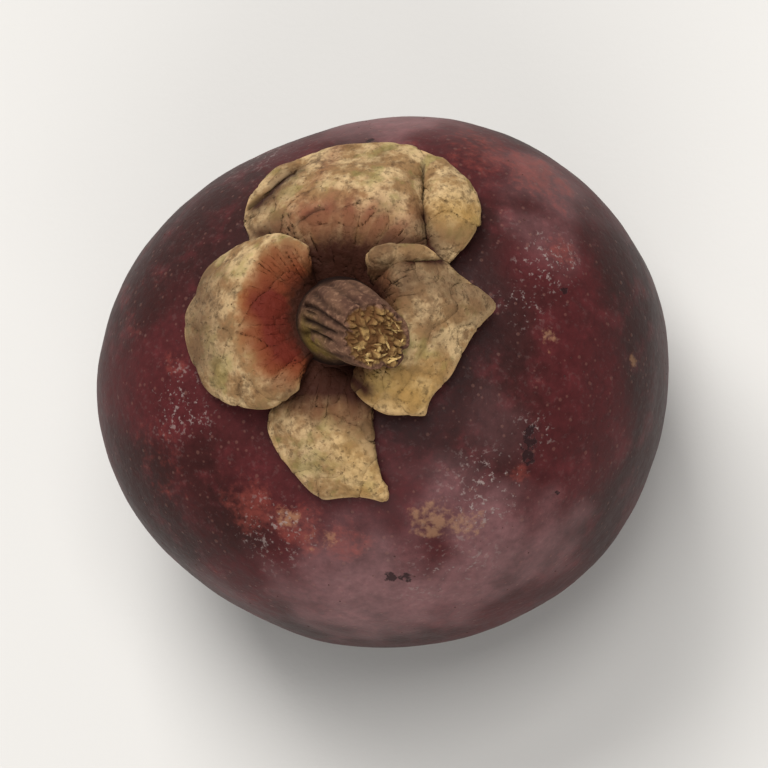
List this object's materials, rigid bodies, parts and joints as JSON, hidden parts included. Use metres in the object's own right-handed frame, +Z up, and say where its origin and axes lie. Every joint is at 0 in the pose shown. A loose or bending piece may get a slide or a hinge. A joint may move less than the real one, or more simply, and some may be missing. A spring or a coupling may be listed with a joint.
{
  "type": "mangosteen",
  "caption": "Whole mangosteen: oblate leathery fruit with a bent woody stalk stub, a calyx of overlapping curled sepals and a lobed stigma scar underneath.",
  "frame": {"origin": "middle of the flat spot under the stigma scar, which the fruit stands on", "axes": "+Z up along the fruit's own axis, from the stigma scar to the stalk; +X and +Y across it, the fruit a little wider along X; the two outer sepals point to +Y and -Y and the stalk leans towards +X and -Y"},
  "size_m": [0.0615, 0.0566, 0.0647],
  "materials": {
    "rind": "smooth leathery fruit rind, dark maroon purple with a faint waxy bloom and russet scars",
    "sepal": "thick dry leathery sepal, beige olive with dark speckles and paler edges",
    "stem": "rough brown woody stalk with lengthwise grooves and a torn fibrous end",
    "stigma": "dry dark brown corky scar"
  },
  "bodies": {
    "root": {"rind": "rind", "stem": "stem", "sepal_outer_far": "sepal", "sepal_outer_near": "sepal", "sepal_inner_left": "sepal", "sepal_inner_right": "sepal", "stigma": "stigma"}
  },
  "joints": []
}
